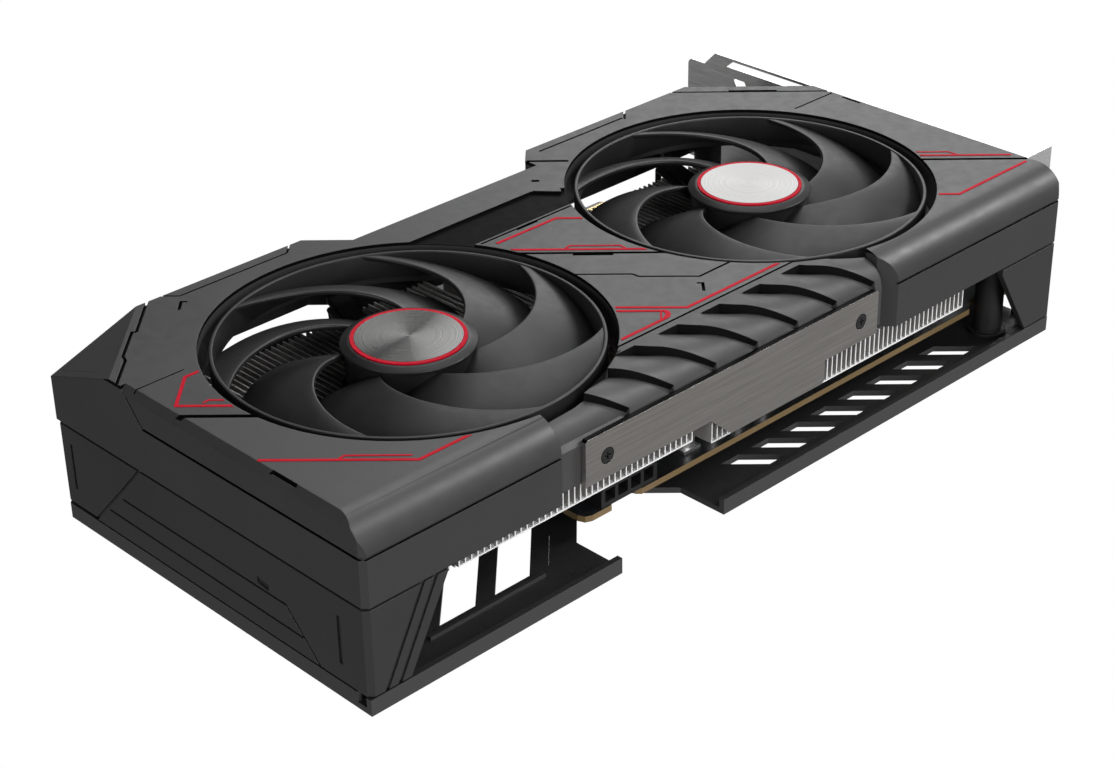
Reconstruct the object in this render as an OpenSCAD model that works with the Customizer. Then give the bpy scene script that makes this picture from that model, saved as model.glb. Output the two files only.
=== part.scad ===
// Two-fan graphics card, laid flat with its fans facing up.
// Millimetres. Inside the model x runs from the tail to the bracket, y from the
// nameplate side to the edge-connector side, and z from the backplate to the fans.
// card_frame() then moves the origin to the bottom centre of the whole card.

/* [Card] */
// Length of the shroud, from the tail wall to its end beside the bracket
shroud_l = 234.6; // [228:0.1:240]
// Width of the shroud, from the nameplate side to the connector side
shroud_w = 108.5; // [106:0.1:112]
// Height of the card, from the backplate to the top face
card_h = 45.75; // [44:0.05:50]
// Height of the seam between the shroud and the lower skirts
seam_z = 26; // [24:0.1:27]
// Wall thickness of the shroud and skirts
wall = 1.8; // [1.2:0.1:2.2]
// Radius that rounds the long top edge over the nameplate side
edge_r = 8.05; // [6:0.05:9]

/* [Fans] */
// Distance between the fan axes
fan_pitch = 114.8; // [112:0.1:116]
// Distance from the tail wall to the first fan axis
fan_x = 59.2; // [58:0.1:60]
// Distance from the nameplate side to both fan axes
fan_y = 53.4; // [52:0.1:55]
// Outer radius of the ring that joins the blade tips
ring_r = 44.6; // [43:0.1:45.5]
// Radius of the fan openings in the shroud
opening_r = 47.1; // [46.5:0.1:48]
// Outer radius of the fan hub
hub_r = 15.6; // [15:0.1:16]
// Number of blades on each fan
blades = 7; // [5:1:9]
// Angle that a blade's leading edge sweeps from hub to ring
blade_sweep = 68; // [55:1:70]

/* [Board] */
// Height of the underside of the circuit board
pcb_z = 6.8; // [6:0.1:8]
// Thickness of the circuit board
pcb_t = 1.57; // [1.4:0.01:1.8]
// Left end of the circuit board
pcb_x0 = 73.5; // [70:0.1:78]
// Side of the graphics processor package
package_side = 35; // [30:1:38]

/* [Backplate] */
// Thickness of the backplate
plate_t = 1.5; // [1.2:0.1:2]
// Height of the rail along the nameplate side
rail_h = 4; // [3:0.1:5]

/* [Heatsink] */
// Distance from fin to fin
fin_pitch = 1.765; // [1.7:0.005:2.2]
// Thickness of one fin
fin_t = 0.35; // [0.3:0.05:0.5]
// Top of the fins
fin_top = 31; // [30:0.1:31.2]
// Radius of the heatpipes
pipe_r = 3; // [2.5:0.5:3]

/* [Bracket] */
// Outer face of the mounting bracket
bracket_x = 240; // [239:0.1:242]
// Sheet thickness of the bracket
bracket_t = 0.86; // [0.8:0.01:1.2]
// Width of one slot of the bracket
slot_w = 18.42; // [18:0.01:19]
// Distance from slot to slot
slot_pitch = 20.32; // [20:0.01:21]
// Overall length of the bracket, from flange to tongue tips
bracket_l = 120.02; // [119:0.01:121]

/* [Hidden] */

$fn = 64;
eps = 0.01;

// Whole-card box, which places the origin
tongue_tip_y = 134.6;
flange_y = tongue_tip_y - bracket_l;
flange_x = 250.5;
card_mid = [flange_x / 2, tongue_tip_y / 2, 0];

// Heights through the stack
pcb_top = pcb_z + pcb_t;
die_z = pcb_top + 1.1;
cold_z = die_z + 0.85;
cold_t = 3.4;
pipe_z = cold_z + cold_t + pipe_r;
frame_z = 31.7;
frame_t = 2;
rotor_z = 35.4;
rotor_top = 44.9;
cap_top = 45.3;
duct_z = 35.2;
duct_r = opening_r + 1.6;

// Plan positions
gpu = [142, 62];
fans = [[fan_x, fan_y], [fan_x + fan_pitch, fan_y]];
blade_phase = [9, 32];
arm_angles = [71, 191, 311];
post_at = [[12, 10], [12, 97], [220.5, 9.8], [211, 101]];
band_x = [55, 163.5];
band_y = 15.4;
end_cut = 4.2;
waist_y = 99.6;

dark = [0.15, 0.15, 0.16];
satin = [0.27, 0.27, 0.28];
steel = [0.72, 0.73, 0.74];
copper = [0.72, 0.42, 0.26];
aluminium = [0.78, 0.79, 0.8];
crimson = [0.84, 0.04, 0.2];
gold = [0.8, 0.66, 0.3];

module card_frame() { translate(-card_mid) children(); }

// A band of width w along a path of straight runs, with mitred corners
module stroke(points, w) {
    n = len(points) - 1;
    runs = [for (i = [0 : n - 1]) points[i + 1] - points[i]];
    sides = [for (d = runs) [-d[1], d[0]] / norm(d) * w / 2];
    shift = [for (i = [0 : n])
        let (a = sides[max(i - 1, 0)], b = sides[min(i, n - 1)])
        (a + b) / (1 + a * b * 4 / (w * w))];
    polygon(concat([for (i = [0 : n]) points[i] + shift[i]], [for (i = [n : -1 : 0]) points[i] - shift[i]]));
}

// A closed solid between two grids of points, each in rows of width nc; low lies under top
module grid_solid(top, low, nc) {
    n = len(top);
    nr = n / nc;
    cells = [for (i = [0 : nr - 2], j = [0 : nc - 2]) i * nc + j];
    rows = [for (j = [0 : nc - 2]) j];
    cols = [for (i = [0 : nr - 2]) i * nc];
    last = (nr - 1) * nc;
    polyhedron(concat(top, low), concat(
        [for (a = cells) [a, a + 1, a + nc]],
        [for (a = cells) [a + nc, a + 1, a + 1 + nc]],
        [for (a = cells) [a + nc + n, a + 1 + n, a + n]],
        [for (a = cells) [a + 1 + nc + n, a + 1 + n, a + nc + n]],
        [for (a = rows) [a + 1, a, a + n]],
        [for (a = rows) [a + 1, a + n, a + 1 + n]],
        [for (a = rows) [a + last, a + 1 + last, a + last + n]],
        [for (a = rows) [a + 1 + last, a + 1 + last + n, a + last + n]],
        [for (a = cols) [a, a + nc, a + n]],
        [for (a = cols) [a + nc, a + nc + n, a + n]],
        [for (a = cols) [a + 2 * nc - 1, a + nc - 1, a + nc - 1 + n]],
        [for (a = cols) [a + 2 * nc - 1, a + nc - 1 + n, a + 2 * nc - 1 + n]]));
}

// A pan-head screw with its head's top at the origin and its shank down -Z
module pan_screw(head_r, head_h, shank_r, shank_l) {
    difference() {
        union() {
            translate([0, 0, -head_h]) cylinder(r = head_r, h = head_h);
            translate([0, 0, -head_h - shank_l]) cylinder(r = shank_r, h = shank_l + eps);
        }
        for (a = [0, 90])
            rotate(a) translate([-head_r * 0.55, -head_r * 0.12, -head_h * 0.5])
                cube([head_r * 1.1, head_r * 0.24, head_h]);
    }
}

// ---------- shroud ----------

// Plan of the top face: a cut tail corner, a waist between the fans and a cut far corner
module shroud_plan(inset = 0) {
    k = inset * 0.414;
    c = inset + 1.2;
    polygon([[c, inset], [shroud_l - c, inset], [shroud_l - inset, c],
        [shroud_l - inset, shroud_w - inset], [148 + inset + k, shroud_w - inset],
        [143.3 + inset, 103.8], [143.3 + inset, waist_y - inset], [81.6 - k, waist_y - inset],
        [72.7 - k, shroud_w - inset], [inset, shroud_w - inset], [inset, c]]);
}

// Section across the card: the nameplate side is rounded into the top face
module shroud_section(inset = 0) {
    r = edge_r - inset;
    difference() {
        translate([inset, 0]) square([shroud_w - 2 * inset, card_h - inset]);
        translate([inset, card_h - edge_r]) difference() {
            translate([-eps, 0]) square([r + eps, r + 1]);
            translate([r, 0]) circle(r = r);
        }
    }
}

module along_x(length) {
    rotate([90, 0, 90]) linear_extrude(length) children();
}

// Tetrahedron that cuts a sloping facet: its face passes reach along each edge and drop below
module facet_cut(reach, drop) {
    far = reach * (1 + 1 / drop) + 1;
    polyhedron(
        [[-1, 1, -drop * (1 + 2 / reach)], [far, 1, 1], [-1, -far, 1], [-1, 1, 1]],
        [[0, 2, 1], [3, 1, 2], [0, 3, 2], [0, 1, 3]]);
}

module shroud_solid(inset = 0) {
    intersection() {
        translate([0, 0, seam_z - inset * 2]) linear_extrude(card_h) shroud_plan(inset);
        along_x(shroud_l) shroud_section(inset);
    }
}

module far_corners(inset = 0) {
    d = inset * 1.6;
    translate([d, shroud_w - d, card_h]) facet_cut(24.3, 8.6);
    translate([shroud_l - d, shroud_w - d, card_h]) mirror([1, 0, 0]) facet_cut(25.4, 8.6);
}

// Fine black grooves of the top face: panel joints and their small jogs
module top_grooves() {
    stroke([[27.8, 109], [17, 98]], 0.7);
    stroke([[17, 98], [16.2, 98.6], [8.2, 90.6], [7.4, 88.6], [-2, 79.2]], 0.7);
    stroke([[0.4, 76.1], [14, 76.1]], 0.4);
    stroke([[33.9, 101.9], [32.9, 102.9], [30.1, 99.9]], 0.7);
    stroke([[34.4, 105.5], [66, 105.5]], 0.5);
    stroke([[34.4, 105.5], [31.4, 108.6]], 0.5);
    stroke([[66, 105.5], [69.4, 109]], 0.5);
    stroke([[-1, 62.2], [14.6, 46.6]], 1.3);
    stroke([[1.3, 20.9], [1.3, 28.6], [0, 29.9]], 0.6);
    stroke([[101.6, 75.5], [132, 75.5]], 0.6);
    stroke([[113, 75.2], [120, 75.2]], 0.9);
    stroke([[103.6, 66], [130.4, 39.2]], 1);
    stroke([[113.1, 55.7], [119.9, 48.9]], 1.6);
    stroke([[105.5, 47.9], [115.3, 38.1], [115.4, 36.2], [125.4, 26], [136.5, 26]], 0.6);
    stroke([[122.4, 24.1], [123.3, 23.1], [120.5, 20.2]], 0.7);
    stroke([[131.2, 88.4], [136.4, 82.4], [138, 84.6]], 1.1);
    stroke([[135.6, 93.4], [137, 92]], 1.2);
    stroke([[143.4, 103.2], [151, 95.6]], 1.1);
    stroke([[150, 105.5], [181.2, 105.5]], 0.6);
    stroke([[181.2, 104.6], [185.4, 108.8]], 0.6);
    stroke([[203.6, 108.6], [235, 77.2]], 0.7);
    stroke([[215.4, 97.6], [224.8, 88.2]], 1.1);
    stroke([[218.4, 76.1], [234, 76.1]], 0.5);
    stroke([[214.6, 30.6], [235, 10.2]], 1.1);
    stroke([[233.7, 66], [233.7, 72]], 0.8);
}

// Crimson lines of the top face
module top_accents() {
    line = 0.75;
    fine = 0.45;
    stroke([[15.8, 73], [12.1, 73], [3.2, 64.1], [14, 53.3]], line);
    stroke([[8, 61], [9.6, 61.2], [13.4, 57.4]], fine);
    stroke([[1.6, 34], [24.9, 10.7], [40.2, 10.7]], line);
    stroke([[13.4, 22.6], [15.2, 22.8], [25, 13]], fine);
    stroke([[104.4, 72.9], [124.3, 72.9], [129, 68.2]], line);
    stroke([[104.3, 68], [128.6, 43.7]], line);
    stroke([[114, 59.1], [115.7, 59.4], [124.3, 50.8], [124.1, 48.9]], fine);
    stroke([[100.3, 29], [111.7, 17.3], [143.7, 17.3]], line);
    stroke([[99.1, 27.6], [107.1, 19.6], [106.5, 18.1], [105, 17.2], [90.1, 17.2]], line);
    stroke([[107, 19.3], [106.3, 18.1], [104.9, 17.3]], 1.2);
    stroke([[106.3, 20.4], [103.1, 17.2]], fine);
    stroke([[216.2, 32.5], [233.2, 15.5]], line);
    stroke([[217.4, 34.4], [223.5, 28.3], [223.6, 25.6]], fine);
    stroke([[200.4, 14.2], [204.3, 10.3], [232.6, 10.3]], line);
}

// Shallow recesses that step the top face between the fans
module top_recesses() {
    polygon([[88, 88.8], [131, 88.8], [142, 77.8], [134, 76.4], [100, 76.4]]);
}

// Grooves on the tail wall, in y and z
module tail_grooves_upper() {
    stroke([[78.4, 43.6], [73.9, 38.4], [73.2, 37.7], [-2, 37.7]], 0.7);
}

module tail_grooves_lower() {
    stroke([[75.4, 27], [85, 16.6], [96.5, 4.6], [108, 4.6]], 0.7);
    stroke([[84.8, 14.9], [26.4, 14.8], [15.9, 4.2], [4, 4.2]], 0.6);
    stroke([[90.8, 9.6], [21.2, 9]], 0.6);
    stroke([[103.8, 21.2], [103.8, 9.3]], 1);
    stroke([[9, 20.6], [9, 8.7]], 1.2);
    stroke([[35.9, 16.8], [32, 16.2]], 1.6);
}

module band_room(grow = 0) {
    difference() {
        translate([band_x[0] - grow, -2]) square([band_x[1] - band_x[0] + 2 * grow, band_y + 2 + grow]);
        for (f = fans) translate(f) circle(r = opening_r - grow, $fn = 128);
    }
}

module fan_duct() {
    translate([0, 0, duct_z]) cylinder(r = duct_r, h = card_h - duct_z - 0.9);
}

// Walls that close the shroud's two ends beside the louvre band
module band_ends() {
    translate([band_x[0] - wall, 0, fin_top + 0.3]) cube([wall, 14, card_h - fin_top]);
    translate([0, 0, seam_z]) linear_extrude(card_h - seam_z) polygon([[band_x[1], end_cut],
        [band_x[1] + end_cut, 0], [band_x[1] + end_cut + 2.6, 0], [band_x[1], end_cut + 2.6]]);
}

module shroud_bosses() {
    for (p = post_at)
        translate([p[0], p[1], seam_z]) cylinder(r = 3.8, h = card_h - seam_z - wall + eps);
}

module shroud() {
    color(satin) difference() {
        union() {
            difference() {
                shroud_solid();
                shroud_solid(wall);
                far_corners();
            }
            intersection() {
                union() {
                    for (f = fans) translate(f) fan_duct();
                    shroud_bosses();
                    band_ends();
                }
                difference() {
                    shroud_solid(0.2);
                    far_corners();
                }
            }
            intersection() {
                shroud_solid();
                difference() {
                    far_corners(wall);
                    far_corners();
                }
            }
        }
        for (f = fans) translate([f[0], f[1], seam_z - 1]) cylinder(r = opening_r, h = card_h, $fn = 128);
        translate([0, 0, seam_z - 1]) linear_extrude(card_h) {
            band_room(0.3);
            polygon([[band_x[1], -1], [band_x[1] + 5.2, -1], [band_x[1], end_cut]]);
        }
        translate([44.4, 103, seam_z - 1]) rotate([90, 0, 0]) mirror([0, 0, 1]) linear_extrude(8)
            polygon([[0, 0], [0, 1.3], [3.8, 4], [40, 4], [40, 0]]);
        for (p = post_at) translate([p[0], p[1], seam_z - 1]) cylinder(r = 1.3, h = 14);
        for (f = fans, a = arm_angles)
            translate([f[0], f[1], duct_z - eps]) rotate(a) translate([opening_r + 0.8, 0, 0])
                cylinder(r = 0.5, h = 5, $fn = 24);
        translate([0, 0, card_h - 0.8]) linear_extrude(2) top_grooves();
        translate([0, 0, card_h - 0.7]) linear_extrude(2) top_recesses();
        translate([-1, 0, 0]) along_x(1.6) tail_grooves_upper();
        for (x = [-1, band_x[1]]) translate([x, -1, card_h - edge_r - 0.35])
            cube([x < 0 ? band_x[0] + 1 : 80, 1.6, 0.7]);
        translate([0, 80, 0]) rotate([90, 0, 0]) linear_extrude(81)
            polygon([[-1, card_h - 2.9], [2.4, card_h + 1], [-1, card_h + 1]]);
    }
}

module accent_lines() {
    color(crimson) difference() {
        translate([0, 0, card_h]) linear_extrude(0.12) top_accents();
        for (f = fans) translate(f) cylinder(r = opening_r + 0.5, h = 90, $fn = 128);
    }
}

// ---------- louvre band, skirts and nameplate ----------

louvre_n = 7;
louvre_pitch = 13.95;
louvre_x0 = 76.95;
louvre_run = 14.5;
louvre_l = 14.05;
band_ledge = 16;
louvre_step = 2.1;
band_rows = 8;

// Point of the band's section at distance s along it, from the ledge over the nameplate to the top face
function band_section(s) =
    let (a = band_ledge + s / edge_r * 180 / PI)
    a < 90 ? [1.6 + edge_r * (1 - cos(a)), card_h - edge_r * (1 - sin(a))]
        : [1.6 + edge_r + s - (90 - band_ledge) * PI * edge_r / 180, card_h];

// Each column of the band: its x at the ledge, whether it leans, and how deep it is sunk
function band_columns() = concat(
    [[band_x[0] + 0.25, 0, 0.9]],
    [for (i = [0 : louvre_n - 1], side = [0, 1])
        [louvre_x0 + i * louvre_pitch + side * 0.25, 1, side == 0 ? louvre_step : 0.05]],
    [[band_x[1] - 0.25, 0, 0.9]]);

// Point of column c at row j: the louvres' rows, then the wall and the strip behind them
function band_point(c, j) =
    let (u = min(j / band_rows, 1), q = band_section(louvre_l * u),
        x = c[0] - c[1] * louvre_run * (1.3 * u - 0.3 * u * u))
    j <= band_rows ? [x, q[0], q[1] - c[2] * (1 + 0.24 * u)]
        : [x, j == band_rows + 1 ? q[0] + 0.2 : band_y - 0.25, card_h - 0.05];

module louvre_skin() {
    floor_z = 35.4;
    top = [for (c = band_columns(), j = [0 : band_rows + 2]) band_point(c, j)];
    low = [for (q = top) [q[0], q[1], floor_z]];
    grid_solid(top, low, band_rows + 3);
}

module louvre_band() {
    color(dark) difference() {
        union() {
            intersection() {
                louvre_skin();
                translate([0, 0, 30]) linear_extrude(30) band_room(-0.25);
            }
            translate([band_x[0] + 0.25, 1.6, 27.6]) cube([band_x[1] - band_x[0] - 0.5, 0.8, 9.6]);
        }
        for (x = plate_screw_x) translate([x, -1, plate_screw_z]) rotate([-90, 0, 0])
            cylinder(r = 1, h = 6);
    }
}

plate_screw_x = [68.4, 154];
plate_screw_z = 32.4;
plate_top = 38.6;
plate_low = 27;
nameplate_t = 1.4;

module nameplate() {
    color(steel) difference() {
        union() {
            rotate([90, 0, 0]) translate([0, 0, -nameplate_t - 0.1]) linear_extrude(nameplate_t)
                polygon([[61.8, plate_low], [61.8, plate_top - 0.6], [62.4, plate_top],
                    [159.6, plate_top], [160.2, plate_top - 0.6], [160.2, plate_low]]);
            rotate([90, 0, 0]) translate([0, 0, -nameplate_t - 0.1]) linear_extrude(0.9)
                polygon([[101.4, plate_low + 0.1], [141.7, plate_low + 0.1], [141.7, 21.4],
                    [141, 20.6], [109, 20.6]]);
        }
        for (x = plate_screw_x) translate([x, -1, plate_screw_z]) rotate([-90, 0, 0]) {
            cylinder(r = 1.3, h = 6);
            cylinder(r = 2, h = 1.85);
        }
        translate([100, -1, plate_low - 0.35]) cube([44, 2, 0.35]);
    }
}

module nameplate_screws() {
    color(dark) for (x = plate_screw_x)
        translate([x, 0.05, plate_screw_z]) rotate([90, 0, 0]) pan_screw(1.8, 0.8, 0.95, 3);
}

// Lower cover at the tail: a wall with a slanted return on the nameplate side
module tail_skirt() {
    z0 = rail_h + 0.45;
    h = seam_z - 0.6 - z0;
    color(dark) difference() {
        union() {
            translate([0, 0, z0]) linear_extrude(h)
                polygon([[0, 1.2], [1.2, 0], [3, 0], [3, wall], [wall, wall + 0.6],
                    [wall, shroud_w - wall], [8, shroud_w - wall], [8, shroud_w - 1.2],
                    [6.8, shroud_w], [1.2, shroud_w], [0, shroud_w - 1.2]]);
            rotate([90, 0, 0]) translate([0, 0, -wall]) linear_extrude(wall)
                polygon([[2.9, z0], [11, z0], [22.2, z0 + h], [2.9, z0 + h]]);
            translate([0, shroud_w, 0]) rotate([90, 0, 0]) linear_extrude(wall)
                polygon([[6.7, z0], [66, z0], [70, z0 + 5], [70, 21.5], [67, 24.4], [42.6, 24.4],
                    [41.3, z0 + h], [6.7, z0 + h]]);
        }
        translate([-1, 0, 0]) along_x(1.6) tail_grooves_lower();
        for (x = [3.9, 7.4])
            translate([0, 0.6, 0]) rotate([90, 0, 0]) linear_extrude(2)
                stroke([[x, z0 - 1], [x + 11.9, z0 + h + 1]], 1);
    }
}

// Lower cover at the bracket end
module port_skirt() {
    z0 = rail_h + 0.45;
    h = seam_z - 0.6 - z0;
    x1 = shroud_l;
    color(dark) union() {
        rotate([90, 0, 0]) translate([0, 0, -wall]) linear_extrude(wall)
            polygon([[x1 - 11.4, z0], [x1 - 1.2, z0], [x1 - 1.2, z0 + h], [x1 - 23.4, z0 + h],
                [x1 - 23.4, z0 + h - 1.4]]);
        translate([0, 0, z0]) linear_extrude(h)
            polygon([[x1 - 3, wall - 0.1], [x1 - 1.3, 0], [x1, 1.2], [x1, 9], [x1 - wall, 9],
                [x1 - wall, wall - 0.1]]);
    }
}

module support_posts() {
    color(dark) for (p = post_at) translate([p[0], p[1], plate_t]) difference() {
        union() {
            cylinder(r = 3.8, h = seam_z - plate_t);
            cylinder(r = 5, h = 0.8);
        }
        translate([0, 0, -1]) cylinder(r = 1.3, h = 8);
        translate([0, 0, 14]) cylinder(r = 1.3, h = 20);
    }
}

module shroud_screws() {
    color(dark) for (p = post_at) translate([p[0], p[1], 0.1]) mirror([0, 0, 1])
        pan_screw(2.4, 0.9, 1.25, 6);
}

// ---------- backplate and circuit board ----------

module backplate_plan() {
    polygon([[0, 0], [72.8, 0], [72.8, 14.4], [84, 25.6], [94.4, 25.6], [106.4, 13.6],
        [106.4, 0], [shroud_l - 1, 0], [shroud_l, 1], [shroud_l, 119], [84, 119],
        [73.5, shroud_w], [1, shroud_w], [0, shroud_w - 1]]);
}

// Slanted flow-through windows under the tail of the heatsink
module tail_windows() {
    intersection() {
        union() {
            for (i = [-3 : 3]) polygon([[29.3 + 16.3 * i, 12.4], [39.8 + 16.3 * i, 12.4],
                [77.4 + 16.3 * i, 50], [66.9 + 16.3 * i, 50]]);
            for (i = [-1 : 5]) polygon([[29.3 + 16.3 * i, 98], [39.8 + 16.3 * i, 98],
                [77.4 + 16.3 * i - 0, 60.4], [66.9 + 16.3 * i, 60.4]]);
        }
        polygon([[16, 12.4], [62, 12.4], [72, 22.4], [72, 98], [16, 98]]);
    }
}

module rail_slots() {
    for (i = [0 : 7]) translate([122.6 + 10.87 * i, 0])
        polygon([[-1.8, 13.9], [4.4, 13.9], [12.6, 5.7], [6.4, 5.7]]);
}

function around_gpu(d) = [for (sx = [-1, 1], sy = [-1, 1]) gpu + [sx * d, sy * d]];

backplate_screw_at = [[86, 40], [86, 112], [112, 24], [196, 24], [196, 112], [228, 60]];
spring_at = around_gpu(26.5);

module backplate() {
    color(dark) difference() {
        union() {
            linear_extrude(plate_t) backplate_plan();
            rail([0, 72.8]);
            rail([106.4, shroud_l - 1]);
            linear_extrude(rail_h) {
                polygon([[0, 4.6], [0.8, 4.2], [1.5, 4.2], [1.5, shroud_w], [1, shroud_w], [0, shroud_w - 1]]);
                polygon([[shroud_l - 1.5, 0], [shroud_l - 1, 0], [shroud_l, 1], [shroud_l, 11],
                    [shroud_l - 1.5, 11]]);
            }
            for (p = backplate_screw_at) translate([p[0], p[1], plate_t - eps])
                cylinder(r = 3, h = pcb_z - plate_t);
            translate([24.5, 9.6, plate_t - eps]) cube([34, 1, 0.8]);
        }
        translate([0, 0, -1]) linear_extrude(plate_t + 2) {
            tail_windows();
            rail_slots();
        }
        for (p = backplate_screw_at) translate([p[0], p[1], -1]) cylinder(r = 1.1, h = 12);
        for (p = backplate_screw_at) translate([p[0], p[1], -1]) cylinder(r = 2.2, h = 1.9);
        for (p = post_at) translate([p[0], p[1], -1]) cylinder(r = 1.3, h = 4);
        for (p = post_at) translate([p[0], p[1], -1]) cylinder(r = 2.6, h = 2.1);
        translate([gpu[0], gpu[1], -1]) linear_extrude(4) square(62, center = true);
    }
}

module rail(span) {
    translate([span[0], 0, 0]) cube([span[1] - span[0], 1.5, rail_h]);
}

module backplate_screws() {
    color(dark) for (p = backplate_screw_at) translate([p[0], p[1], 0.1]) mirror([0, 0, 1])
        pan_screw(1.9, 0.75, 0.95, 6.6);
}

finger_y = tongue_tip_y - 5.2;
board_y = finger_y - 8.25;
board_x1 = 237.8;

module pcb_plan() {
    difference() {
        polygon([[pcb_x0 + 2.4, 12.3], [82, 12.3], [82, 17], [90.8, 17], [90.8, 13.4], [91.9, 12.3], [board_x1, 12.3], [board_x1, board_y],
            [197, board_y], [197, finger_y - 1], [196, finger_y], [186.3, finger_y],
            [185.3, finger_y - 1], [185.3, board_y], [183.4, board_y], [183.4, finger_y - 1],
            [182.4, finger_y], [112.8, finger_y], [111.8, finger_y - 1], [111.8, board_y],
            [108.2, board_y], [106.6, board_y + 2], [106.6, finger_y - 3], [101, finger_y - 3],
            [101, board_y], [pcb_x0, board_y], [pcb_x0, 14.7], [pcb_x0 + 0.7, 13]]);
        translate(post_at[2]) circle(r = 5.4);
        translate(post_at[3]) circle(r = 5.4);
    }
}

module pcb() {
    color([0.1, 0.11, 0.11]) translate([0, 0, pcb_z]) difference() {
        linear_extrude(pcb_t) pcb_plan();
        for (p = concat(backplate_screw_at, spring_at)) translate([p[0], p[1], -1])
            cylinder(r = 1.6, h = 4);
    }
}

module contact_row() {
    for (i = [0 : 10]) translate([186.5 + i, finger_y - 5.4]) square([0.7, 4.2]);
    for (i = [0 : 69]) translate([112.9 + i, finger_y - 5.4]) square([0.7, 4.2]);
}

module edge_contacts() {
    color(gold) for (z = [pcb_z - 0.06, pcb_top]) translate([0, 0, z]) linear_extrude(0.06)
        contact_row();
}

module gpu_package() {
    color([0.12, 0.3, 0.2]) translate([gpu[0], gpu[1], pcb_top]) linear_extrude(1.1)
        square(package_side, center = true);
}

module gpu_die() {
    color([0.4, 0.42, 0.45]) translate([gpu[0], gpu[1], die_z]) linear_extrude(0.8)
        square([19, 12.5], center = true);
}

memory_at = concat(
    [for (sx = [-1, 1], sy = [-0.5, 0.5]) gpu + [sx * 27.5, sy * 18]],
    [for (sx = [-0.5, 0.5], sy = [-1, 1]) gpu + [sx * 18, sy * 27.5]]);

module memory_chips() {
    color(dark) for (m = memory_at) translate([m[0] - 6, m[1] - 7, pcb_top]) cube([12, 14, 1.1]);
}

module thermal_pads() {
    color([0.55, 0.58, 0.62]) for (m = memory_at)
        translate([m[0] - 5.5, m[1] - 6.5, die_z]) cube([11, 13, 0.8]);
}

choke_at = concat([for (i = [1 : 5]) [95.5, 28 + 11.6 * i]], [for (i = [0 : 2]) [193, 42 + 11.6 * i]]);

module chokes() {
    color([0.33, 0.33, 0.34]) for (c = choke_at) translate([c[0] - 4, c[1] - 4, pcb_top])
        cube([8, 8, 5.2]);
}

module power_stages() {
    color(dark) for (c = choke_at) translate([c[0] - 11 + (c[0] > 150 ? 19 : 0), c[1] - 2.5, pcb_top])
        cube([5, 5, 0.9]);
}

capacitor_at = concat([for (i = [0 : 4]) [104, 34 + 11.6 * i]], [for (i = [0 : 3]) [112 + 9 * i, 18]]);

module capacitors() {
    color([0.62, 0.63, 0.65]) for (c = capacitor_at) translate([c[0], c[1], pcb_top]) {
        cylinder(r = 2.6, h = 5.2);
        translate([-2.8, -2.8, 0]) cube([5.6, 5.6, 0.8]);
    }
}

module controller_chips() {
    color(dark) {
        translate([86, 96, pcb_top]) cube([7, 7, 0.9]);
        translate([200, 84, pcb_top]) cube([6, 5, 1.4]);
        translate([208, 36, pcb_top]) cube([5, 4, 1.2]);
        translate([160, 104, pcb_top]) cube([9, 9, 1]);
        for (i = [0 : 13]) translate([116 + 6 * i, 110, pcb_top]) cube([1.6, 0.9, 0.8]);
        for (i = [0 : 9]) translate([148 + 5 * i, 15, pcb_top]) cube([3, 1.6, 1.6]);
    }
}

cell = 4.2;
power_x = 78.9;
power_y = 12.5;

module power_connector() {
    color(dark) translate([power_x, power_y, pcb_top]) difference() {
        cube([4 * cell + 1.4, 12.6, 2 * cell + 1.4]);
        for (i = [0 : 3], j = [0, 1])
            translate([0.7 + cell * i + 0.5, -1, 0.7 + cell * j + 0.5]) cube([3.2, 11.8, 3.2]);
    }
}

module power_pins() {
    color(gold) for (i = [0 : 3], j = [0, 1])
        translate([power_x + 0.7 + cell * (i + 0.5), power_y + 10.8, pcb_top + 0.7 + cell * (j + 0.5)])
            rotate([90, 0, 0]) cylinder(r = 0.55, h = 7.5, $fn = 24);
}

// ---------- ports and bracket ----------

port_h = 6;
port_x = 221;
port_front = bracket_x + 0.6;
dp_y = [36, 55.5, 75];
hdmi_y = 94.5;

module port_outline(w, notch) {
    polygon([[-w / 2, 0], [w / 2, 0], [w / 2, port_h], [-w / 2 + notch, port_h],
        [-w / 2, port_h - notch]]);
}

module port_shell(w, notch) {
    d = port_front - port_x;
    rotate([90, 0, 90]) difference() {
        linear_extrude(d) port_outline(w, notch);
        translate([0, 0.4, 2]) linear_extrude(d) scale([1 - 0.8 / w, 1 - 0.8 / port_h])
            port_outline(w, notch);
    }
}

module displayport_ports() {
    color(steel) for (y = dp_y) translate([port_x, y, pcb_top]) port_shell(16.9, 2.2);
}

module hdmi_port() {
    color(steel) translate([port_x, hdmi_y, pcb_top]) port_shell(15, 1.4);
}

module port_tongues() {
    color(dark) {
        for (y = dp_y) translate([port_x + 2, y - 5.5, pcb_top + 2.4]) cube([11.6, 11, 1.2]);
        translate([port_x + 2, hdmi_y - 5, pcb_top + 2.4]) cube([11.6, 10, 1.2]);
    }
}

bracket_z = pcb_z - 2.4;
bracket_top = bracket_z + slot_w + slot_pitch;
slot_mid = [bracket_z + slot_w / 2, bracket_z + slot_w / 2 + slot_pitch];
tongue_w = 10.16;
notch_x = bracket_x + 5.6;
notch_z = [slot_mid[0] - 4.4, slot_mid[1] - 4.4];

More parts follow.
